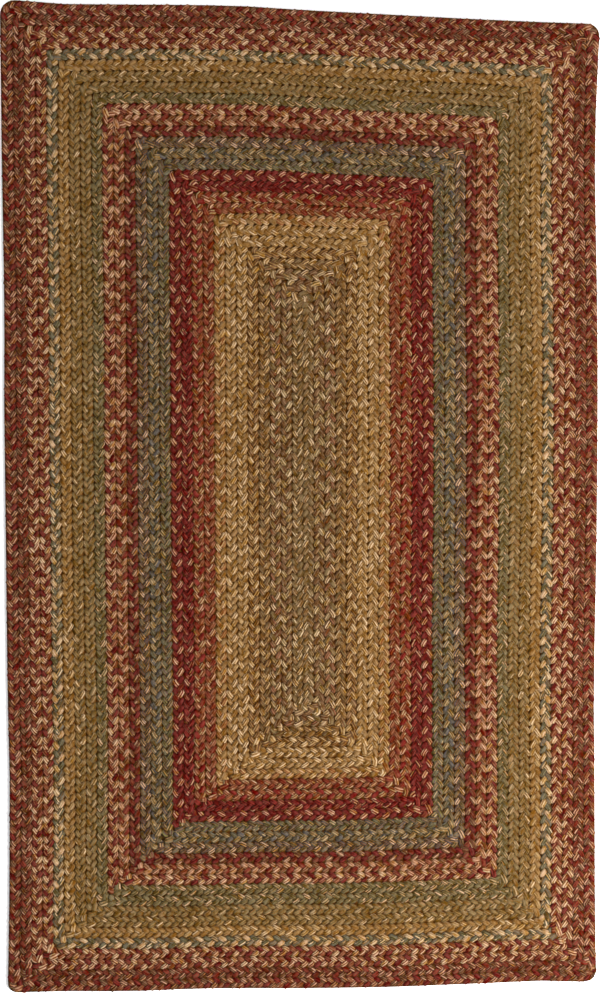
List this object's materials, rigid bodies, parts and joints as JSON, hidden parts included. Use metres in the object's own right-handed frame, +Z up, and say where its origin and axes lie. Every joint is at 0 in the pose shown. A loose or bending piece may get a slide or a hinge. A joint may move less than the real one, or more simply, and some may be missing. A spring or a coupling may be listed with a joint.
{
  "type": "braided rug",
  "caption": "Flat rectangular braided floor rug: one long three-strand yarn braid sewn edge to edge in a rectangular spiral, in bands of rust, gold, olive and tan.",
  "frame": {"origin": "on the floor, under the middle of the rug's box", "axes": "+X across the rug, +Y along it from the foot to the head, +Z up from the floor to the top face"},
  "size_m": [0.9284, 1.5378, 0.01],
  "materials": {
    "braid_yarn": "matt multi-coloured yarn, plaited"
  },
  "bodies": {
    "root": {"braided_rug": "braid_yarn"}
  },
  "joints": []
}
